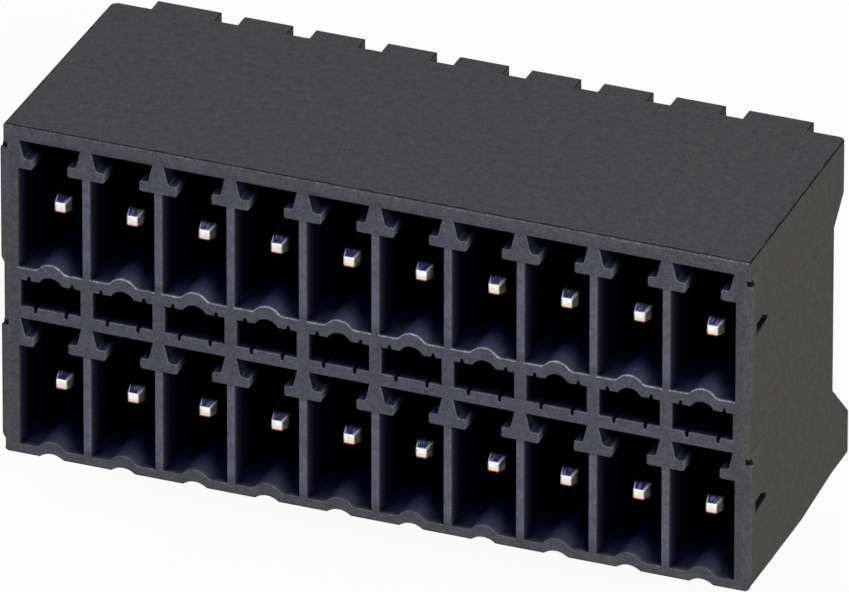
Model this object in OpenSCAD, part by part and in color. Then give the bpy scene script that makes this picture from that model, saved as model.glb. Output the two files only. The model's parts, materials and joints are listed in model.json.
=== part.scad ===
// Dual row shrouded pin header, right angle, for a circuit board.
// X runs along the rows, the open mating face looks towards -Y and Z points up from the board.
// The origin lies on the board, in the middle of the flat seat under the front of the housing.

/* [Rows] */
// Positions in each of the two rows
positions = 10; // [3:1:20]
// Distance between neighbouring positions
pitch = 3.5; // [3.4:0.1:5]
// Height from the lower row to the upper row
row_pitch = 9.1; // [8.6:0.1:12]

/* [Cells] */
// Clear height of a cell, from its floor to its ceiling
cell_h = 6.5; // [6:0.1:7]
// Depth of a cell behind the mating face
cell_d = 8; // [6:0.1:9]
// Wall between neighbouring cells
divider_t = 0.36; // [0.2:0.02:0.6]
// Wall at each end of a row
end_t = 0.68; // [0.5:0.01:1.2]
// Plate over the upper row
top_t = 0.7; // [0.5:0.05:1.2]
// Floor plate under the lower row
floor_t = 0.5; // [0.4:0.05:1]
// Wall behind the cells, which holds the contacts
rear_wall_t = 1; // [0.6:0.1:1.5]

/* [Key rails] */
// Width of the cross bar of a rail
rail_w = 1.8; // [1.5:0.05:2]
// Thickness of the cross bar
rail_t = 0.52; // [0.3:0.02:0.8]
// Ceiling to the top of the cross bar
rail_drop = 0.9; // [0.6:0.05:1.2]
// Width of the rail's web at the ceiling
web_top_w = 0.55; // [0.4:0.05:0.8]
// Width of the rail's web on the cross bar
web_foot_w = 0.97; // [0.8:0.01:1.1]
// Radius of the fillet between web and cross bar
rail_fillet = 0.14; // [0.05:0.01:0.2]
// Radius of the cross bar's edges
rail_edge_r = 0.1; // [0.02:0.01:0.14]

/* [Floor waves] */
// Radius of the crown of the hump on each cell's floor
hump_r = 0.75; // [0.6:0.05:1]
// Height of the hump above its floor
hump_h = 0.37; // [0.2:0.01:0.5]
// Radius of the fillet at the hump's feet
hump_fillet = 0.3; // [0.1:0.05:0.4]
// Radius of the crown of the groove in each pocket's ceiling
groove_r = 0.62; // [0.5:0.02:0.8]
// Height of the groove
groove_h = 0.33; // [0.15:0.01:0.36]
// Radius of the fillet at the groove's feet
groove_fillet = 0.1; // [0.05:0.01:0.2]
// Radius of the crown of the groove in the underside
under_r = 0.85; // [0.6:0.05:1]
// Height of the groove in the underside
under_h = 0.24; // [0.15:0.01:0.3]
// Radius of the fillet at the feet of the groove in the underside
under_fillet = 0.3; // [0.1:0.05:0.4]

/* [Pockets between the rows] */
// Floor plate under the upper row
mid_floor_t = 0.62; // [0.5:0.02:0.9]
// Ceiling plate over the lower row
mid_ceiling_t = 0.64; // [0.5:0.02:0.9]
// Wall between neighbouring pockets
pocket_divider_t = 0.58; // [0.4:0.02:0.8]
// Depth of a pocket behind the mating face
pocket_d = 7; // [5:0.1:8]
// Width of the slits in a pocket's ceiling and floor
slit_w = 0.2; // [0.14:0.02:0.3]
// Width of a slit at its bottom
slit_end_w = 0.1; // [0.06:0.02:0.12]
// Depth of the slits in a pocket's ceiling
ceiling_slit_h = 0.2; // [0.1:0.02:0.24]
// Depth of the slits in a pocket's floor
floor_slit_h = 0.28; // [0.1:0.02:0.34]
// Distance between the two slits in a pocket's ceiling
ceiling_slit_span = 2.1; // [1.8:0.05:2.4]
// Distance between the two slits in a pocket's floor
floor_slit_span = 1.5; // [1:0.05:2]

/* [Rear] */
// Depth of the top plate
body_d = 12.72; // [12:0.02:14]
// How far the rear ribs stand out behind the top plate
rib_proud = 0.85; // [0.5:0.05:1.2]
// How far the row of ribs reaches past the end positions
rib_overhang = 0.18; // [0:0.02:0.4]
// Gap between a contact's leg and each side of its slot
leg_gap = 0.15; // [0.05:0.01:0.3]
// Gap between the upper contacts and the roof of their slots
roof_gap = 0.3; // [0.1:0.05:0.6]
// Depth to which the end walls are cut back between lip and foot
end_recess_d = 11.2; // [10:0.05:12]
// Height of the end walls' upper lip
lip_h = 2.4; // [1.6:0.1:3]
// Slope length, in height, under the lip
lip_slope = 1.45; // [0.8:0.05:2]
// Height of the upright rear side of the foot
foot_h = 1.9; // [1.5:0.05:3]
// Slope length, in height, over the foot
foot_slope = 2.35; // [1:0.05:3]
// Radius of the upright rear corners
corner_r = 0.35; // [0.1:0.05:0.5]
// Radius of the long edges between the ends and the underside
edge_r = 0.2; // [0.1:0.05:0.4]
// Radius of the upper and lower edges of the mating face
face_r = 0.1; // [0.05:0.01:0.2]
// How far each end wall draws in from front to rear
side_draft = 0.2; // [0:0.02:0.3]

/* [Seat] */
// Depth of the flat seat on the board
seat_d = 7; // [5:0.1:8]
// How far the underside at the rear is lifted off the board
foot_lift = 0.35; // [0.2:0.05:0.8]

/* [End pads] */
// How far a pad stands out of its end wall
pad_proud = 0.17; // [0.1:0.01:0.3]
// Height of a pad
pad_h = 6.2; // [5:0.05:6.3]
// Height of a pad's lower end above its row's floor
pad_lift = 0.15; // [0.05:0.05:0.2]
// Depth of a pad, which slopes back into its wall
pad_d = 5; // [3:0.1:7]
// Height of the slope at a pad's ends
pad_slope = 0.28; // [0.1:0.02:0.4]
// Chamfer at a pad's front edge
pad_chamfer = 0.08; // [0.02:0.01:0.1]
// Depth of the latch dent in a pad
dent_depth = 0.45; // [0.2:0.05:0.5]
// Length of the latch dent
dent_l = 1.7; // [1.4:0.1:2]
// Height of the latch dent
dent_h = 0.58; // [0.4:0.02:0.8]
// Length of the flat roof of the dent, before it slopes down
dent_roof_l = 0.88; // [0.5:0.02:1.2]
// Height of the dent's rear end
dent_end_h = 0.17; // [0.1:0.01:0.3]
// Mating face to the latch dent
dent_setback = 0.56; // [0.3:0.02:0.8]
// Height of the latch dent above its row's floor
dent_lift = 3.3; // [2:0.1:4]
// Height of the notch near a pad's upper end
notch_h = 0.26; // [0.2:0.02:0.4]
// Distance from the notch up to the pad's upper end
notch_drop = 0.08; // [0.06:0.01:0.2]
// Depth of the notch behind the mating face
notch_d = 0.3; // [0.2:0.05:0.5]
// How far the notch cuts into the end wall
notch_cut = 0.18; // [0.05:0.01:0.2]

/* [Contacts] */
// Side of the square contact pins
pin_size = 0.8; // [0.5:0.05:1]
// Gap on each side of a pin in its hole
pin_fit = 0.02; // [0.01:0.01:0.05]
// Height of a pin's axis above its cell's floor
pin_height = 2.72; // [2:0.01:3.2]
// Mating face to the tip of a pin
tip_setback = 1.22; // [0.8:0.02:2]
// Length of the tapered tip
tip_l = 0.65; // [0.2:0.05:1]
// Side of the flat end of the tip
tip_end = 0.54; // [0.3:0.02:0.7]
// Inner radius of the bend
bend_r = 0.2; // [0.1:0.05:0.4]
// Length of a solder tail below the board's surface
tail_l = 2.6; // [1.5:0.1:4]

/* [Hidden] */
$fn = 48;
eps = 0.01;
sides = [-1, 1];
rows = [0, 1];

housing_colour = [0.07, 0.07, 0.08];
pin_colour = [0.78, 0.78, 0.76];

cell_w = pitch - divider_t;
pocket_w = pitch - pocket_divider_t;
pocket_h = row_pitch - cell_h - mid_floor_t - mid_ceiling_t;
pocket_floor = floor_t + cell_h + mid_ceiling_t;
pocket_ceiling = pocket_floor + pocket_h;
body_h = floor_t + row_pitch + cell_h + top_t;
half_w = (positions * pitch - divider_t) / 2 + end_t;
rear_d = body_d + rib_proud;
rib_half_w = position_x(positions) + rib_overhang;

slot_w = pin_size + 2 * leg_gap;
slot_d = cell_d + rear_wall_t;
slot_top = pin_z(1) + pin_size / 2 + roof_gap;

// Axes of the upright legs, the upper row's in the middle of the ribs' depth
upper_leg_y = body_d + rib_proud / 2;
lower_leg_y = slot_d + bend_r + pin_size / 2;

function position_x(i) = (i - (positions + 1) / 2) * pitch;
function divider_x(i) = (i - positions / 2) * pitch;
function row_floor(row) = floor_t + row * row_pitch;
function pin_z(row) = row_floor(row) + pin_height;
function leg_y(row) = row == 1 ? upper_leg_y : lower_leg_y;

// Moves what is drawn from the mating face and the board into the part's own frame
module from_seat() {
    translate([0, -seat_d / 2, 0]) children();
}

// Extrudes a drawing of Y and Z along X, centred
module along_x(width) {
    translate([-width / 2, 0, 0]) rotate([90, 0, 90]) linear_extrude(width) children();
}

// Extrudes a drawing of X and Z along Y, from one depth to another
module along_y(from, to) {
    translate([0, to, 0]) rotate([90, 0, 0]) linear_extrude(to - from) children();
}

// A box of Y and Z limits, centred on X
module slab(width, y_from, y_to, z_from, z_to) {
    translate([-width / 2, y_from, z_from]) cube([width, y_to - y_from, z_to - z_from]);
}

// A rectangle with two round lower corners, centred on X and standing on a line at height 0
module rounded(width, height, radius) {
    inner = width / 2 - radius;
    translate([-inner, 0]) square([2 * inner, height]);
    translate([-width / 2, radius]) square([width, height - radius]);
    for (side = sides) translate([side * inner, radius]) circle(radius);
}

// Right foot of a wave, hollowed by a fillet from where it touches the crown
module wave_foot(touch, foot, fillet) {
    difference() {
        polygon([[-eps, -eps], [foot, -eps], [foot, fillet], touch, [-eps, touch[1]]]);
        translate([foot, fillet]) circle(fillet);
    }
}

// A round wave on a line at height 0, with fillets at its feet
module wave_profile(radius, height, fillet) {
    middle = height - radius;
    foot = sqrt(pow(radius + fillet, 2) - pow(fillet - middle, 2));
    share = radius / (radius + fillet);
    touch = [foot * share, middle + (fillet - middle) * share];
    intersection() {
        translate([0, middle]) circle(radius);
        translate([-touch[0], -eps]) square([2 * touch[0], height + 2 * eps]);
    }
    wave_foot(touch, foot, fillet);
    mirror([1, 0]) wave_foot(touch, foot, fillet);
}

// Right half of the web of a key rail, with a fillet on the cross bar at height 0
module web_profile() {
    lean = (web_foot_w - web_top_w) / 2 / rail_drop;
    stretch = sqrt(1 + lean * lean);
    middle = [web_foot_w / 2 + rail_fillet * (stretch - lean), rail_fillet];
    touch = middle - rail_fillet / stretch * [1, lean];
    difference() {
        polygon([
            [-eps, -eps], [middle[0], -eps], middle, touch,
            [web_top_w / 2, rail_drop], [web_top_w / 2, rail_drop + eps], [-eps, rail_drop + eps],
        ]);
        translate(middle) circle(rail_fillet);
    }
}

// Key rail under a ceiling at height 0
module rail_profile() {
    translate([0, -rail_drop]) {
        web_profile();
        mirror([1, 0]) web_profile();
    }
    translate([0, -rail_drop - rail_t]) {
        rounded(rail_w, rail_t / 2 + eps, rail_edge_r);
        translate([0, rail_t]) mirror([0, 1]) rounded(rail_w, rail_t / 2 + eps, rail_edge_r);
    }
}

// Open section of one row of cells, drawn in X and Z
module cells_profile(row) {
    translate([0, row_floor(row)]) difference() {
        for (i = [1:positions]) translate([position_x(i) - cell_w / 2, 0]) square([cell_w, cell_h]);
        for (i = [0:positions]) translate([divider_x(i), cell_h]) rail_profile();
        for (i = [1:positions]) translate([position_x(i), 0]) wave_profile(hump_r, hump_h, hump_fillet);
    }
}

// A slit that narrows upwards from a line at height 0
module slit_profile(height) {
    polygon([
        [-slit_w / 2, -eps], [slit_w / 2, -eps], [slit_w / 2, 0],
        [slit_end_w / 2, height], [-slit_end_w / 2, height], [-slit_w / 2, 0],
    ]);
}

// Open section of one pocket between the rows, drawn in X and Z
module pocket_profile() {
    translate([-pocket_w / 2, pocket_floor]) square([pocket_w, pocket_h]);
    translate([0, pocket_ceiling]) wave_profile(groove_r, groove_h, groove_fillet);
    for (side = sides) {
        translate([side * ceiling_slit_span / 2, pocket_ceiling]) slit_profile(ceiling_slit_h);
        translate([side * floor_slit_span / 2, pocket_floor]) mirror([0, 1]) slit_profile(floor_slit_h);
    }
}

// Outline of an end wall, drawn in Y and Z
module end_profile() {
    lip_z = body_h - lip_h;
    recess_top = lip_z - lip_slope;
    foot_top = foot_lift + foot_h;
    polygon([
        [face_r, 0], [seat_d, 0], [end_recess_d, foot_lift], [rear_d, foot_lift],
        [rear_d, foot_top], [end_recess_d, foot_top + foot_slope],
        [end_recess_d, recess_top], [body_d, lip_z], [body_d, body_h], [face_r, body_h],
        [0, body_h - face_r], [0, face_r],
    ]);
    for (level = [face_r, body_h - face_r]) translate([face_r, level]) circle(face_r);
}

// Right half of the outline from above, drawn in X and Y, down to a depth, with a round rear corner
module plan_half(depth) {
    slope = side_draft / body_d;
    stretch = sqrt(1 + slope * slope);
    rear = [half_w - slope * (depth - corner_r) - stretch * corner_r, depth - corner_r];
    polygon([
        [-eps, 0], [half_w, 0], rear + corner_r / stretch * [1, slope], [rear[0], depth], [-eps, depth],
    ]);
    translate(rear) circle(corner_r);
}

// Outline from above, drawn in X and Y, down to a depth
module plan_outline(depth) {
    plan_half(depth);
    mirror([1, 0]) plan_half(depth);
}

// The housing's block before anything is cut out of it
module block() {
    middle = body_h / 2;
    intersection() {
        along_x(2 * half_w) end_profile();
        along_y(0, rear_d) rounded(2 * half_w, body_h, edge_r);
        union() {
            linear_extrude(middle) plan_outline(rear_d);
            translate([0, 0, middle]) linear_extrude(body_h - middle) plan_outline(body_d);
        }
    }
    slab(2 * rib_half_w, slot_d, rear_d, foot_lift, body_h);
}

// Raised pad at the front of both end walls of one row, fading into the walls behind
module pads(row) {
    low = row_floor(row) + pad_lift;
    high = low + pad_h;
    outer = half_w + pad_proud;
    root = half_w - side_draft;
    root_z = pad_slope * side_draft / pad_proud;
    intersection() {
        along_y(0, pad_d) polygon([
            [-root, low - root_z], [root, low - root_z], [outer, low + pad_slope],
            [outer, high - pad_slope], [root, high + root_z], [-root, high + root_z],
            [-outer, high - pad_slope], [-outer, low + pad_slope],
        ]);
        translate([0, 0, low - root_z]) linear_extrude(pad_h + 2 * root_z) polygon([
            [pad_chamfer - outer, 0], [outer - pad_chamfer, 0], [outer, pad_chamfer], [root, pad_d],
            [-root, pad_d], [-outer, pad_chamfer],
        ]);
    }
}

// Outline of a latch dent, drawn in Y and Z
module dent_profile() {
    polygon([[0, 0], [0, dent_h], [dent_roof_l, dent_h], [dent_l, dent_end_h], [dent_l, 0]]);
}

// Latch dent and upper notch in both pads of one row
module pad_cuts(row) {
    outer = half_w + pad_proud;
    dent_z = row_floor(row) + dent_lift;
    notch_top = row_floor(row) + pad_lift + pad_h - notch_drop;
    for (side = sides) translate([side * outer, 0, 0]) {
        translate([0, dent_setback, dent_z]) along_x(2 * dent_depth) dent_profile();
        slab(2 * (pad_proud + notch_cut), -eps, notch_d, notch_top - notch_h, notch_top);
    }
}

// Slots behind the cells for the legs of both rows, and the notches over the inner ones
module leg_slots() {
    for (i = [1:positions]) translate([position_x(i), 0, 0])
        slab(slot_w, slot_d, rear_d + eps, -eps, slot_top);
    for (i = [2:positions - 1]) translate([position_x(i), 0, 0])
        slab(slot_w, body_d, rear_d + eps, slot_top - eps, body_h + eps);
}

// Square holes that hold the contacts of one row
module pin_holes(row) {
    hole = pin_size + 2 * pin_fit;
    for (i = [1:positions]) translate([position_x(i), 0, 0])
        slab(hole, cell_d - eps, slot_d + eps, pin_z(row) - hole / 2, pin_z(row) + hole / 2);
}

// Moulded housing
module housing() {
    color(housing_colour) from_seat() difference() {
        union() {
            block();
            for (row = rows) pads(row);
        }
        for (row = rows) {
            along_y(-eps, cell_d) cells_profile(row);
            pin_holes(row);
            pad_cuts(row);
        }
        for (i = [1:positions]) translate([position_x(i), 0, 0]) {
            along_y(-eps, pocket_d) pocket_profile();
            translate([0, 0, -eps]) along_y(-eps, slot_d + eps)
                wave_profile(under_r, under_h + eps, under_fillet);
        }
        leg_slots();
    }
}

// Side view of a bent pin of one row, drawn in Y and Z
module pin_profile(row) {
    half = pin_size / 2;
    axis_z = pin_z(row);
    axis_y = leg_y(row);
    bend_y = axis_y - half - bend_r;
    bend_z = axis_z - half - bend_r;
    end = tip_end / 2;
    polygon([
        [tip_setback, axis_z - end], [tip_setback + tip_l, axis_z - half], [bend_y, axis_z - half],
        [bend_y, axis_z + half], [tip_setback + tip_l, axis_z + half], [tip_setback, axis_z + end],
    ]);
    polygon([
        [axis_y - end, -tail_l], [axis_y + end, -tail_l], [axis_y + half, tip_l - tail_l],
        [axis_y + half, bend_z], [axis_y - half, bend_z], [axis_y - half, tip_l - tail_l],
    ]);
    translate([bend_y, bend_z]) intersection() {
        difference() {
            circle(bend_r + pin_size);
            circle(bend_r);
        }
        square(bend_r + pin_size);
    }
}

// A bar's outline that narrows to the flat end of its tip, pointing down from a length
module tapered_bar(length) {
    half = pin_size / 2;
    end = tip_end / 2;
    polygon([[-end, 0], [end, 0], [half, tip_l], [half, length], [-half, length], [-half, tip_l]]);
}

// Bent contact pin at position i of one row, tapered on all four sides at both ends
module pin(row, i) {
    reach = leg_y(row) + pin_size;
    height = pin_z(row) + tail_l + pin_size;
    color(pin_colour) from_seat() translate([position_x(i), 0, 0]) intersection() {
        along_x(pin_size) pin_profile(row);
        translate([0, tip_setback, -tail_l]) linear_extrude(height) tapered_bar(reach);
        translate([0, 0, -tail_l]) along_y(0, reach) tapered_bar(height);
    }
}

module upper_pin(i) {
    pin(1, i);
}

module lower_pin(i) {
    pin(0, i);
}

housing();
for (i = [1:positions]) {
    upper_pin(i);
    lower_pin(i);
}
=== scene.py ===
"""Studio scene of a dual row shrouded pin header: black moulded housing, bright tinned pins.

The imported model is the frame. It stays in place and gets edge rounding, materials, light and a camera.
Places in the materials are in mm: depth from the mating face, height from the housing's underside.
"""
import json
import math
from types import SimpleNamespace

import bpy
from mathutils import Matrix, Vector

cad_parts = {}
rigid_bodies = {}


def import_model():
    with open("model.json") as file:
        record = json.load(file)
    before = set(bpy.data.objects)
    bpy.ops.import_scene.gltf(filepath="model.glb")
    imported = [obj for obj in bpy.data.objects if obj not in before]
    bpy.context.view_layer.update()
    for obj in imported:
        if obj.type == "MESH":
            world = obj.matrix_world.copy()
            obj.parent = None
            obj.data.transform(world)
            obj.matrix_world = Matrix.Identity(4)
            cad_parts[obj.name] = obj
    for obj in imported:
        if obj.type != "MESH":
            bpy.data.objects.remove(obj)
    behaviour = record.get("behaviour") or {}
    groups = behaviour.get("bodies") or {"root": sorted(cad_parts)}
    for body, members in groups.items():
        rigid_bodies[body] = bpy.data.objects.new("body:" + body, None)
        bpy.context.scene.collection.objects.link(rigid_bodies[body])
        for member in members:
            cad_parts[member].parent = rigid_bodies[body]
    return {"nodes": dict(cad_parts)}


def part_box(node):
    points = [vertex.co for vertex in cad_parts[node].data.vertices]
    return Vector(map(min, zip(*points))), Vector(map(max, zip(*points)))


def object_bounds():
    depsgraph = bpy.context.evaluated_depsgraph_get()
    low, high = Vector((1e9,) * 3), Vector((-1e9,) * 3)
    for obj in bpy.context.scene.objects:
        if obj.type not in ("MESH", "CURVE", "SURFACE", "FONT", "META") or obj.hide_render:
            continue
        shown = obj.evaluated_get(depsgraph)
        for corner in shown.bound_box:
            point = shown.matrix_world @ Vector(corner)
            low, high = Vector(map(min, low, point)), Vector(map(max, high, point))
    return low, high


MM = 0.001
WHITE = (1, 1, 1)

# Camera: its direction from the object's middle, its distance, and how far it is moved right and up
AZIMUTH = math.radians(21.414)
ELEVATION = math.radians(28.584)
ROLL = math.radians(0.054)
CAMERA_DISTANCE = 1171.07 * MM
SHIFT_RIGHT = -0.243 * MM
SHIFT_UP = 0.910 * MM
LENS = 1098.6
SENSOR = 36.0
CLIP_START = CAMERA_DISTANCE / 2
CLIP_END = CAMERA_DISTANCE * 4

# Studio: floor, world and lamps, with each lamp's azimuth and elevation in degrees, power and colour
STAGE_SIZE = 3.0
STAGE_COLOUR = (0.8, 0.8, 0.8)
STAGE_GLOW = 0.94
WORLD_LIGHT = 0.36
LAMP_DISTANCE = 0.4
LAMP_SIZE = 0.25
LAMPS = {
    "key_light": (48, 20, 1.6, (1, 0.97, 0.9)),
    "fill_light": (-25, 20, 0.52, (0.82, 0.85, 1.5)),
    "rear_light": (228, 4, 0.9, WHITE),
}

# Edge rounding of the moulded housing and of the pins: width and number of segments
HOUSING_EDGE = (0.04 * MM, 2)
PIN_EDGE = (0.09 * MM, 3)
EDGE_ANGLE = math.radians(40)
FLAT_ANGLE = math.radians(1)
WELD_DISTANCE = 0.0005 * MM

# Plastic: its noises as scale per mm, detail and roughness, and its two shades
MOTTLE = (2.5, 5, 0.6)
GRAIN = (11, 3, 0.6)
EDGE_LINE_NOISE = (0.9, 3, 0.5)
GRAIN_SHARE = 0.6
SURFACE_DARK = (0.051, 0.051, 0.052)
SURFACE_LIGHT = (0.089, 0.089, 0.090)
SURFACE_SPREAD = (0.32, 0.68)
ROUGHNESS_SPREAD = (0.3, 0.7)
PLASTIC_ROUGHNESS = (0.7, 0.82)
PLASTIC_BUMP = (0.4, 0.015 * MM)
PLASTIC_SPECULAR = 0.03

# Painted highlights: on the rounded edges of the mating face, found by the direction that they look to,
# and in a strip along the front of the upper floors
EDGE_HIGHLIGHT_COLOUR = (0.36, 0.38, 0.43)
EDGE_FRONT = (-0.97, -0.1)
EDGE_RISE = (-0.2, 0.4)
CELL_EDGE_HIGHLIGHT = 0.22
RIM_STRIP_DEPTH = (0.14, 0.05)
RIM_HIGHLIGHT_SPREAD = (0.38, 0.62)
RIM_HIGHLIGHT_RANGE = (0.1, 1)
OUTER_EDGE_HIGHLIGHT = 0.35
SPECK_SPREAD = (0.54, 0.7)
SPECK_RISE = (0.1, 0.4)

# Painted highlight on the front faces of the thin dividers, and by a share on the webs, posts and rails
DIVIDER_DARK = (0.080, 0.080, 0.103)
DIVIDER_LIGHT = (0.130, 0.130, 0.155)
DIVIDER_SPREAD = (0.36, 0.64)
DIVIDER_WALL = (0.3, 0.2)
DIVIDER_RISE = (0.5, 1.2)
DIVIDER_TOP = 5.5
DIVIDER_END = 1.0
WEB_BAND = (5.5, 16.0)
WEB_TONE = 0.25

# Dark line on the upper edges, and painted shade in narrow gaps
SIDE_EDGE_COLOUR = (0.012, 0.012, 0.012)
SIDE_EDGE_DEPTH = 0.1
SIDE_EDGE_TURN = (0.2, 0.97)
EDGE_LINE = (0.03, 0.12)
EDGE_LINE_SPREAD = (0.35, 0.65)
EDGE_ROUND = 0.1
FLAT_TOP = 0.97
PAD_PROUD = 0.17
SIDE_DRAFT = 0.0157
GAP_SHADE_COLOUR = (0.008, 0.008, 0.009)
GAP_REACH = 0.7 * MM
GAP_SHADE = (0.45, 0.85)
GAP_SAMPLES = 8

# Painted shade in the cells: where they are, and how their walls and floors darken with depth, with
# painted light on the crowns of the floors
CELL_WALL = 0.48
CELL_DEPTH = 8.5
CELL_COLOUR = (0.0001, 0.0001, 0.0024)
WALL_COLOUR = (0.0096, 0.0096, 0.0252)
WALL_FADE = (-0.1, 0.4)
WALL_DEEP = (0.15, 1.2)
FLOOR_BAND = (0.3, 1.3)
FLOOR_RISE = (0.1, 0.3)
FLOOR_COLOUR = (0.0022, 0.0024, 0.0180)
FLOOR_DEEP = (1.0, 4.0)
CROWN_COLOUR = (0.040, 0.043, 0.078)
CROWN_FADE = (-0.2, 2.1)
CROWN_SPREAD = (0.1, 1.5)
LOWER_CROWN = 0.6

# Painted shade on the rails under the ceilings, painted light on the ends of their cross bars, and
# painted shade in the pockets between the rows
RAIL_TURN = (0.2, 0.5)
RAIL_END_COLOUR = (0.090, 0.090, 0.105)
RAIL_END_BAND = (5.5, 6.08)
RAIL_END_FADE = (0.0, 0.7)
RAIL_TOP_COLOUR = (0.027, 0.037, 0.058)
RAIL_TOP_BAND = (6.08, 7.05)
RAIL_TOP_RISE = (0.4, 0.8)
RAIL_TOP_EDGE = (0.0, 0.1)
RAIL_TOP_FADE = (-0.2, 1.0)
RAIL_WEB_COLOUR = (0.006, 0.007, 0.014)
POCKET_COLOUR = (0.0003, 0.0003, 0.0015)
POCKET_BAND = (7.3, 9.35)
POCKET_FADE = (0.0, 0.2)
POCKET_DEEP = (0.0, 0.6)

# Tin: its noises, the stretch of its drawn streaks, and its shades on shafts and legs
CLOUD = (3.5, 3, 0.5)
PATCHES = (0.8, 3, 0.5)
STREAKS = (1.0, 4, 0.5)
SHAFT_STRETCH = (14, 0.8, 14)
LEG_STRETCH = (14, 14, 0.8)
PATCH_SHARE = 0.35
TIN_SPREAD = (0.35, 0.65)
TIN_DARK = (0.76, 0.76, 0.74)
TIN_LIGHT = (0.97, 0.97, 0.90)
LEG_DARK = (0.44, 0.44, 0.46)
LEG_LIGHT = (0.66, 0.66, 0.65)
TIN_ROUGHNESS = (0.5, 0.64)
TIN_BUMP = (0.3, 0.01 * MM)

# Tips and shafts: painted shade on their tops, painted highlights on corners and streaks, a painted warm
# reflection at the foot by the drop from the pin's top, and painted shade in the depths
TIN_TOP_SHADE = (0.16, 0.16, 0.42)
TOP_SHADE_RISE = (0.5, 0.9)
TIN_HIGHLIGHT = (0.80, 0.81, 0.86)
HIGHLIGHT_METAL = 0.2
CORNER_TURN = (0.25, 0.97)
STREAK_SPREAD = (0.5, 0.62)
STREAK_HIGHLIGHT = 0.5
TIP_FRONT = -0.2
CREAM = (0.82, 0.72, 0.52)
CREAM_FADE = (0.28, 0.52)
BROWN = (0.20, 0.05, 0.012)
BROWN_FADE = (0.53, 0.61)
TIN_SHADED = (0.002, 0.002, 0.005)
SHAFT_FADE = (1.6, 1.9)


def clear_scene():
    for obj in list(bpy.data.objects):
        bpy.data.objects.remove(obj)


def set_input(tree, socket, value):
    """Links a socket to another one, or gives it a plain value."""
    if isinstance(value, bpy.types.NodeSocket):
        tree.links.new(value, socket)
    else:
        socket.default_value = value


def add_node(tree, kind, inputs=None, **settings):
    """A node of the given kind, with its settings and the values or links of its inputs."""
    made = tree.nodes.new(kind)
    for name, value in settings.items():
        setattr(made, name, value)
    for name, value in (inputs or {}).items():
        set_input(tree, made.inputs[name], value)
    return made


def new_material(name):
    material = bpy.data.materials.new(name)
    material.use_nodes = True
    material.node_tree.nodes.clear()
    return material, material.node_tree


def opaque(colour):
    return (*colour, 1)


def millimetres(tree, stretch=(1, 1, 1)):
    """Object coordinates in millimetres, stretched by axis."""
    place = add_node(tree, "ShaderNodeTexCoord")
    scale = [share / MM for share in stretch]
    mapping = add_node(tree, "ShaderNodeMapping", {"Vector": place.outputs["Object"], "Scale": scale})
    return mapping.outputs["Vector"]


def axes_of(tree, vector):
    return add_node(tree, "ShaderNodeSeparateXYZ", {"Vector": vector}).outputs


def noise(tree, vector, scale, detail, roughness):
    made = add_node(
        tree, "ShaderNodeTexNoise",
        {"Vector": vector, "Scale": scale, "Detail": detail, "Roughness": roughness},
    )
    return made.outputs["Fac"]


def remap(tree, value, limits, results, curve="LINEAR"):
    """A value taken from between two limits to between two results."""
    low, high = limits
    to_low, to_high = results
    made = add_node(
        tree, "ShaderNodeMapRange",
        {"Value": value, "From Min": low, "From Max": high, "To Min": to_low, "To Max": to_high},
        interpolation_type=curve,
    )
    return made.outputs["Result"]


def math_node(tree, operation, *values):
    made = add_node(tree, "ShaderNodeMath", operation=operation)
    for socket, value in zip(made.inputs, values):
        set_input(tree, socket, value)
    return made.outputs[0]


def multiply(tree, first, *others):
    """The product of two or more values."""
    product = first
    for other in others:
        product = math_node(tree, "MULTIPLY", product, other)
    return product


def colour_mix(tree, factor, first, second):
    """The first colour where the factor is 0, the second where it is 1."""
    made = add_node(tree, "ShaderNodeMix", data_type="RGBA")
    tree.links.new(factor, made.inputs[0])
    sockets = [socket for socket in made.inputs if socket.type == "RGBA"]
    for socket, colour in zip(sockets, (first, second)):
        set_input(tree, socket, opaque(colour) if isinstance(colour, tuple) else colour)
    return next(socket for socket in made.outputs if socket.type == "RGBA")


def within(tree, value, low, high):
    """1 where a value lies between two limits, else 0."""
    over = math_node(tree, "GREATER_THAN", value, low)
    under = math_node(tree, "LESS_THAN", value, high)
    return multiply(tree, over, under)


def fade(tree, value, limits):
    """0 before the first limit, rising smoothly to 1 at the second, which may be the lower one."""
    return remap(tree, value, limits, (0, 1), "SMOOTHSTEP")


def blend(tree, factor, first, second):
    """The first value where the factor is 0, the second where it is 1."""
    step = math_node(tree, "SUBTRACT", second, first)
    return math_node(tree, "MULTIPLY_ADD", factor, step, first)


def facing(tree):
    """The direction that a face looks to, in the object's own axes."""
    normal = add_node(tree, "ShaderNodeNewGeometry").outputs["True Normal"]
    local = add_node(
        tree, "ShaderNodeVectorTransform", {"Vector": normal},
        vector_type="NORMAL", convert_from="WORLD", convert_to="OBJECT",
    )
    return axes_of(tree, local.outputs["Vector"])


def surface(tree, relief, bump, inputs):
    """Ends a material in one shader with the given inputs and with a relief as bump."""
    strength, rise = bump
    raised = add_node(tree, "ShaderNodeBump", {"Height": relief, "Strength": strength, "Distance": rise})
    shader = add_node(tree, "ShaderNodeBsdfPrincipled", {**inputs, "Normal": raised.outputs["Normal"]})
    add_node(tree, "ShaderNodeOutputMaterial", {"Surface": shader.outputs["BSDF"]})


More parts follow.
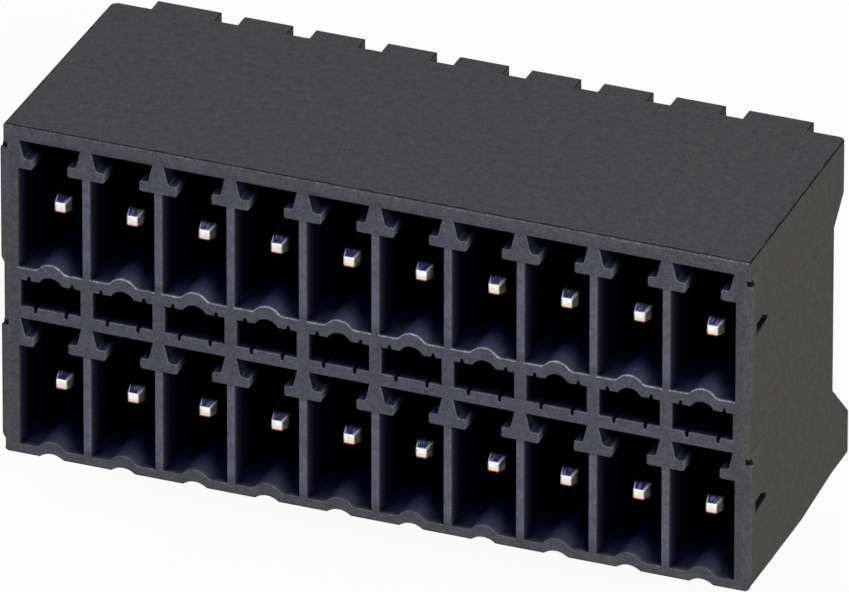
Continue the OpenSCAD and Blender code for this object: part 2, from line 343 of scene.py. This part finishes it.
def housing_place(tree, vector, box, pitch, row_pitch):
    """Where a point of the housing lies, and the direction that its face looks to."""
    low, high = box
    axes = axes_of(tree, vector)
    height = math_node(tree, "SUBTRACT", axes["Z"], low.z / MM)
    looks = facing(tree)
    return SimpleNamespace(
        size=(high - low) / MM,
        across=axes["X"],
        depth=math_node(tree, "SUBTRACT", axes["Y"], low.y / MM),
        height=height,
        from_divider=math_node(tree, "PINGPONG", axes["X"], pitch / 2 / MM),
        in_row=math_node(tree, "FLOORED_MODULO", height, row_pitch / MM),
        upper_row=math_node(tree, "GREATER_THAN", height, row_pitch / MM),
        looks=looks,
        sideways=math_node(tree, "ABSOLUTE", looks["X"]),
    )


def between_ends(tree, at, margin):
    """1 where a point lies further from both ends of the housing than a margin, else 0."""
    reach = at.size.x / 2 - margin
    return within(tree, at.across, -reach, reach)


def inside_cells(tree, at):
    """1 in the block of space that holds the cells and the walls between them, else 0."""
    between_plates = within(tree, at.height, CELL_WALL, at.size.z - CELL_WALL)
    before_wall = math_node(tree, "LESS_THAN", at.depth, CELL_DEPTH)
    return multiply(tree, between_ends(tree, at, CELL_WALL), between_plates, before_wall)


def cell_floors(tree, at):
    """1 on what faces up near the floors of the cells, else 0."""
    return multiply(tree, within(tree, at.in_row, *FLOOR_BAND), fade(tree, at.looks["Z"], FLOOR_RISE))


def floor_crowns(tree, at, floors):
    """Painted light on the floors: rises from the dividers to the crowns along the middle of the floors,
    less in the lower row.
    """
    row_share = blend(tree, at.upper_row, LOWER_CROWN, 1.0)
    return multiply(tree, floors, fade(tree, at.from_divider, CROWN_SPREAD), row_share)


def rail_ends(tree, at):
    """1 on the ends of the rails' cross bars, else 0."""
    return multiply(tree, within(tree, at.in_row, *RAIL_END_BAND), fade(tree, at.sideways, RAIL_TURN))


def rail_tops(tree, at):
    """1 on the rails' webs and on the tops of their cross bars, else 0."""
    turned = math_node(tree, "MAXIMUM", at.looks["Z"], at.sideways)
    return multiply(tree, within(tree, at.in_row, *RAIL_TOP_BAND), fade(tree, turned, RAIL_TURN))


def cell_shade(tree, at, crowns, ends, tops, pockets):
    """0 at the mating face, rising to 1 behind it, last on the rails and on the crowns of the floors."""
    in_cell = blend(tree, crowns, fade(tree, at.depth, WALL_FADE), fade(tree, at.depth, CROWN_FADE))
    in_cell = blend(tree, ends, in_cell, fade(tree, at.depth, RAIL_END_FADE))
    in_cell = blend(tree, tops, in_cell, fade(tree, at.depth, RAIL_TOP_FADE))
    in_pocket = multiply(tree, pockets, fade(tree, at.depth, POCKET_FADE))
    return math_node(tree, "MAXIMUM", in_cell, in_pocket)


def edge_highlights(tree, at, inside, floors, speckle, grain):
    """Painted highlights round the mating face: most on a strip along the front of the upper floors, less
    on other cell edges, specks on outer edges.
    """
    front_edge = within(tree, at.looks["Y"], *EDGE_FRONT)
    upper_floors = multiply(tree, floors, at.upper_row)
    strip = multiply(tree, upper_floors, fade(tree, at.depth, RIM_STRIP_DEPTH))
    cell_edge = multiply(tree, front_edge, fade(tree, at.looks["Z"], EDGE_RISE))
    highlit_edges = math_node(tree, "MAXIMUM", cell_edge, strip)
    strength = blend(tree, upper_floors, CELL_EDGE_HIGHLIGHT, 1.0)
    in_cell = multiply(tree, highlit_edges, strength, remap(tree, speckle, RIM_HIGHLIGHT_SPREAD, RIM_HIGHLIGHT_RANGE))
    specks = multiply(tree, fade(tree, grain, SPECK_SPREAD), fade(tree, at.looks["Z"], SPECK_RISE))
    outside = multiply(tree, front_edge, specks, OUTER_EDGE_HIGHLIGHT)
    return blend(tree, inside, outside, in_cell)


def highlit_fronts(tree, at):
    """Where a highlight is painted: 1 on the front faces of the thin dividers, a share on the other inner
    front faces, else 0.
    """
    at_front = math_node(tree, "LESS_THAN", at.depth, EDGE_ROUND)
    inner_front = multiply(tree, between_ends(tree, at, DIVIDER_END), at_front)
    under_rail = math_node(tree, "LESS_THAN", at.in_row, DIVIDER_TOP)
    upright = multiply(tree, under_rail, fade(tree, at.in_row, DIVIDER_RISE))
    dividers = multiply(tree, upright, fade(tree, at.from_divider, DIVIDER_WALL), inner_front)
    webs = multiply(tree, within(tree, at.height, *WEB_BAND), inner_front, WEB_TONE)
    return math_node(tree, "MAXIMUM", dividers, webs)


def upper_edges(tree, at, line_noise):
    """1 on the edges between top and sides, and in a line of varying width beside the top's edges."""
    at_top = math_node(tree, "GREATER_THAN", at.height, at.size.z - SIDE_EDGE_DEPTH)
    rounded = within(tree, at.sideways, *SIDE_EDGE_TURN)
    from_front = math_node(tree, "SUBTRACT", at.depth, EDGE_ROUND)
    half_width = math_node(tree, "MULTIPLY_ADD", at.depth, -SIDE_DRAFT, at.size.x / 2 - PAD_PROUD)
    from_side = math_node(tree, "SUBTRACT", half_width, math_node(tree, "ABSOLUTE", at.across))
    from_edge = math_node(tree, "MINIMUM", from_front, from_side)
    line = math_node(tree, "LESS_THAN", from_edge, remap(tree, line_noise, EDGE_LINE_SPREAD, EDGE_LINE))
    flat = math_node(tree, "GREATER_THAN", at.looks["Z"], FLAT_TOP)
    return multiply(tree, at_top, math_node(tree, "MAXIMUM", rounded, multiply(tree, line, flat)))


def shaded_gaps(tree):
    """Where shade is painted: 1 in slits, dents and notches, 0 on open faces."""
    shut = add_node(
        tree, "ShaderNodeAmbientOcclusion", {"Distance": GAP_REACH},
        samples=GAP_SAMPLES, only_local=True,
    )
    return math_node(tree, "SUBTRACT", 1, fade(tree, shut.outputs["AO"], GAP_SHADE))


def cell_colour(tree, at, floors):
    """The colour that the shade in the cells ends in: dark blue at the front, nearly black behind."""
    on_walls = colour_mix(tree, fade(tree, at.depth, WALL_DEEP), WALL_COLOUR, CELL_COLOUR)
    on_floors = colour_mix(tree, fade(tree, at.depth, FLOOR_DEEP), FLOOR_COLOUR, CELL_COLOUR)
    return colour_mix(tree, floors, on_walls, on_floors)


def plastic(box, pitch, row_pitch):
    """Moulded plastic with a fine grain, painted highlights on its edges, and painted shade in narrow
    gaps and deep in the cells.
    """
    material, tree = new_material("moulded_black")
    vector = millimetres(tree)
    at = housing_place(tree, vector, box, pitch, row_pitch)
    mottle = noise(tree, vector, *MOTTLE)
    grain = noise(tree, vector, *GRAIN)
    # A noise that varies the width of the dark line on the upper edges
    line_noise = noise(tree, vector, *EDGE_LINE_NOISE)
    speckle = blend(tree, GRAIN_SHARE, mottle, grain)

    inside = inside_cells(tree, at)
    floors = cell_floors(tree, at)
    crowns = floor_crowns(tree, at, floors)
    ends = rail_ends(tree, at)
    tops = rail_tops(tree, at)
    pockets = within(tree, at.height, *POCKET_BAND)
    shade = multiply(tree, inside, cell_shade(tree, at, crowns, ends, tops, pockets))
    behind_edge = fade(tree, at.depth, RAIL_TOP_EDGE)
    edge_highlight = edge_highlights(tree, at, inside, floors, speckle, grain)
    deep_pockets = multiply(tree, inside, pockets, fade(tree, at.depth, POCKET_DEEP))

    colour = colour_mix(tree, fade(tree, speckle, SURFACE_SPREAD), SURFACE_DARK, SURFACE_LIGHT)
    # Painted light on the crowns of the floors
    colour = colour_mix(tree, multiply(tree, inside, crowns), colour, CROWN_COLOUR)
    # Painted light on the ends of the rails' cross bars
    colour = colour_mix(tree, multiply(tree, inside, ends), colour, RAIL_END_COLOUR)
    # Painted shade on the rails' webs and on the tops of their cross bars
    upward = fade(tree, at.looks["Z"], RAIL_TOP_RISE)
    top_colour = colour_mix(tree, upward, RAIL_WEB_COLOUR, RAIL_TOP_COLOUR)
    colour = colour_mix(tree, multiply(tree, inside, behind_edge, tops), colour, top_colour)
    # Painted highlight on the inner front faces
    front_highlight_colour = colour_mix(tree, fade(tree, speckle, DIVIDER_SPREAD), DIVIDER_DARK, DIVIDER_LIGHT)
    colour = colour_mix(tree, highlit_fronts(tree, at), colour, front_highlight_colour)
    # Painted highlights on the rounded edges and along the front of the floors
    colour = colour_mix(tree, edge_highlight, colour, EDGE_HIGHLIGHT_COLOUR)
    colour = colour_mix(tree, upper_edges(tree, at, line_noise), colour, SIDE_EDGE_COLOUR)
    # Painted shade in slits, dents and notches
    colour = colour_mix(tree, shaded_gaps(tree), colour, GAP_SHADE_COLOUR)
    colour = colour_mix(tree, shade, colour, cell_colour(tree, at, floors))
    colour = colour_mix(tree, deep_pockets, colour, POCKET_COLOUR)
    surface(tree, grain, PLASTIC_BUMP, {
        "Base Color": colour,
        "Roughness": remap(tree, mottle, ROUGHNESS_SPREAD, PLASTIC_ROUGHNESS),
        "Specular IOR Level": PLASTIC_SPECULAR,
    })
    return material


def tin(name, face, top):
    """Tin plating with drawn streaks, with painted highlights and shade on the tips, a painted warm
    reflection at their foot, and painted shade deep in the cells.
    """
    material, tree = new_material(name)
    vector = millimetres(tree)
    axes = axes_of(tree, vector)
    depth = math_node(tree, "SUBTRACT", axes["Y"], face / MM)
    drop = math_node(tree, "SUBTRACT", top / MM, axes["Z"])
    before_wall = math_node(tree, "LESS_THAN", depth, CELL_DEPTH)
    looks = facing(tree)
    sideways = math_node(tree, "ABSOLUTE", looks["X"])
    along_shaft = noise(tree, millimetres(tree, SHAFT_STRETCH), *STREAKS)
    along_leg = noise(tree, millimetres(tree, LEG_STRETCH), *STREAKS)
    streaks = blend(tree, before_wall, along_leg, along_shaft)
    cloud = noise(tree, vector, *CLOUD)
    patina = blend(tree, PATCH_SHARE, along_leg, noise(tree, vector, *PATCHES))

    on_tip = multiply(tree, before_wall, math_node(tree, "LESS_THAN", looks["Y"], TIP_FRONT))
    shaded_top = multiply(tree, before_wall, fade(tree, looks["Z"], TOP_SHADE_RISE))
    corner = multiply(tree, within(tree, sideways, *CORNER_TURN), within(tree, looks["Z"], *CORNER_TURN))
    streak_highlights = multiply(tree, shaded_top, fade(tree, streaks, STREAK_SPREAD), STREAK_HIGHLIGHT)
    highlit = math_node(tree, "MAXIMUM", corner, streak_highlights)

    shaft_colour = colour_mix(tree, fade(tree, cloud, TIN_SPREAD), TIN_DARK, TIN_LIGHT)
    leg_colour = colour_mix(tree, fade(tree, patina, TIN_SPREAD), LEG_DARK, LEG_LIGHT)
    colour = colour_mix(tree, before_wall, leg_colour, shaft_colour)
    # Painted shade on the faces that look up
    colour = colour_mix(tree, shaded_top, colour, TIN_TOP_SHADE)
    # Painted highlights on the tips' corners and along streaks on their tops
    colour = colour_mix(tree, highlit, colour, TIN_HIGHLIGHT)
    # Cream, then brown, at the foot of the tips' fronts: a painted warm reflection
    colour = colour_mix(tree, multiply(tree, on_tip, fade(tree, drop, CREAM_FADE)), colour, CREAM)
    colour = colour_mix(tree, multiply(tree, on_tip, fade(tree, drop, BROWN_FADE)), colour, BROWN)
    shade = multiply(tree, before_wall, fade(tree, depth, SHAFT_FADE))
    colour = colour_mix(tree, shade, colour, TIN_SHADED)
    surface(tree, streaks, TIN_BUMP, {
        "Base Color": colour,
        "Metallic": blend(tree, highlit, 1.0, HIGHLIGHT_METAL),
        "Roughness": remap(tree, cloud, ROUGHNESS_SPREAD, TIN_ROUGHNESS),
    })
    return material


def round_edges(obj, width, segments):
    """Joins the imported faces, merges flat triangles and rounds the sharp edges."""
    weld = obj.modifiers.new("weld", "WELD")
    weld.merge_threshold = WELD_DISTANCE
    flat = obj.modifiers.new("flat", "DECIMATE")
    flat.decimate_type = "DISSOLVE"
    flat.angle_limit = FLAT_ANGLE
    bevel = obj.modifiers.new("edges", "BEVEL")
    bevel.width = width
    bevel.segments = segments
    bevel.limit_method = "ANGLE"
    bevel.angle_limit = EDGE_ANGLE
    bevel.use_clamp_overlap = False
    bevel.loop_slide = False
    bevel.harden_normals = True


def seen_directly(tree):
    """1 for rays from the camera, a mirror or glass, 0 for light that bounces."""
    path = add_node(tree, "ShaderNodeLightPath").outputs
    mirrored = math_node(tree, "MAXIMUM", path["Is Glossy Ray"], path["Is Transmission Ray"])
    return math_node(tree, "MAXIMUM", path["Is Camera Ray"], mirrored)


def shader_mix(tree, factor, first, second):
    made = add_node(tree, "ShaderNodeMixShader", {"Fac": factor})
    tree.links.new(first.outputs[0], made.inputs[1])
    tree.links.new(second.outputs[0], made.inputs[2])
    return made.outputs[0]


def white_world():
    """White where it is seen, and a dimmer white light all round."""
    world = bpy.data.worlds.new("studio")
    bpy.context.scene.world = world
    world.use_nodes = True
    tree = world.node_tree
    tree.nodes.clear()
    ambient = add_node(tree, "ShaderNodeBackground", {"Color": opaque(WHITE), "Strength": WORLD_LIGHT})
    white = add_node(tree, "ShaderNodeBackground", {"Color": opaque(WHITE), "Strength": 1.0})
    mix = shader_mix(tree, seen_directly(tree), ambient, white)
    add_node(tree, "ShaderNodeOutputWorld", {"Surface": mix})


def white_floor(height):
    """A pale floor that is nearly white where it is seen and keeps the object's shadow."""
    half = STAGE_SIZE / 2
    mesh = bpy.data.meshes.new("floor")
    corners = [(-half, -half, height), (half, -half, height), (half, half, height), (-half, half, height)]
    mesh.from_pydata(corners, [], [(0, 1, 2, 3)])
    floor = bpy.data.objects.new("floor", mesh)
    bpy.context.scene.collection.objects.link(floor)
    material, tree = new_material("pale_floor")
    matte = add_node(tree, "ShaderNodeBsdfDiffuse", {"Color": opaque(STAGE_COLOUR)})
    glow = add_node(tree, "ShaderNodeEmission", {"Color": opaque(WHITE), "Strength": seen_directly(tree)})
    add_node(tree, "ShaderNodeOutputMaterial", {"Surface": shader_mix(tree, STAGE_GLOW, matte, glow)})
    mesh.materials.append(material)


def outward(azimuth, elevation):
    """The direction from the object to a place in front of it, turned by azimuth and elevation."""
    level = math.cos(elevation)
    return Vector((math.sin(azimuth) * level, -math.cos(azimuth) * level, math.sin(elevation)))


def soft_light(name, aim, azimuth, elevation, power, colour):
    data = bpy.data.lights.new(name, "AREA")
    data.shape = "DISK"
    data.size = LAMP_SIZE
    data.energy = power
    data.color = colour
    lamp = bpy.data.objects.new(name, data)
    back = outward(math.radians(azimuth), math.radians(elevation))
    lamp.location = aim + back * LAMP_DISTANCE
    lamp.rotation_euler = back.to_track_quat("Z", "Y").to_euler()
    bpy.context.scene.collection.objects.link(lamp)


def photo_camera(middle):
    right = Vector((math.cos(AZIMUTH), math.sin(AZIMUTH), 0))
    back = outward(AZIMUTH, ELEVATION)
    up = back.cross(right)
    data = bpy.data.cameras.new("camera")
    data.sensor_width = SENSOR
    data.lens = LENS
    data.clip_start = CLIP_START
    data.clip_end = CLIP_END
    camera = bpy.data.objects.new("camera", data)
    turn = Matrix((right, up, back)).transposed() @ Matrix.Rotation(ROLL, 3, "Z")
    place = middle + right * SHIFT_RIGHT + up * SHIFT_UP + back * CAMERA_DISTANCE
    camera.matrix_world = Matrix.LocRotScale(place, turn, None)
    bpy.context.scene.collection.objects.link(camera)
    bpy.context.scene.camera = camera


clear_scene()
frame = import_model()
cad_low, cad_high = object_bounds()
middle = (cad_low + cad_high) / 2

housing_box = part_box("housing")
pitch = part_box("upper_pin_2")[0].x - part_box("upper_pin_1")[0].x
pin_top = {row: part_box(f"{row}_pin_1")[1].z for row in ("upper", "lower")}
housing_material = plastic(housing_box, pitch, pin_top["upper"] - pin_top["lower"])
row_tin = {row: tin(f"{row}_tin", housing_box[0].y, top) for row, top in pin_top.items()}
for name, obj in frame["nodes"].items():
    obj.data.materials.clear()
    if name == "housing":
        obj.data.materials.append(housing_material)
        round_edges(obj, *HOUSING_EDGE)
    else:
        obj.data.materials.append(row_tin[name.split("_")[0]])
        round_edges(obj, *PIN_EDGE)

white_floor(cad_low.z)
white_world()
for name, (azimuth, elevation, power, colour) in LAMPS.items():
    soft_light(name, middle, azimuth, elevation, power, colour)

photo_camera(middle)

bpy.context.scene.view_settings.view_transform = "Standard"
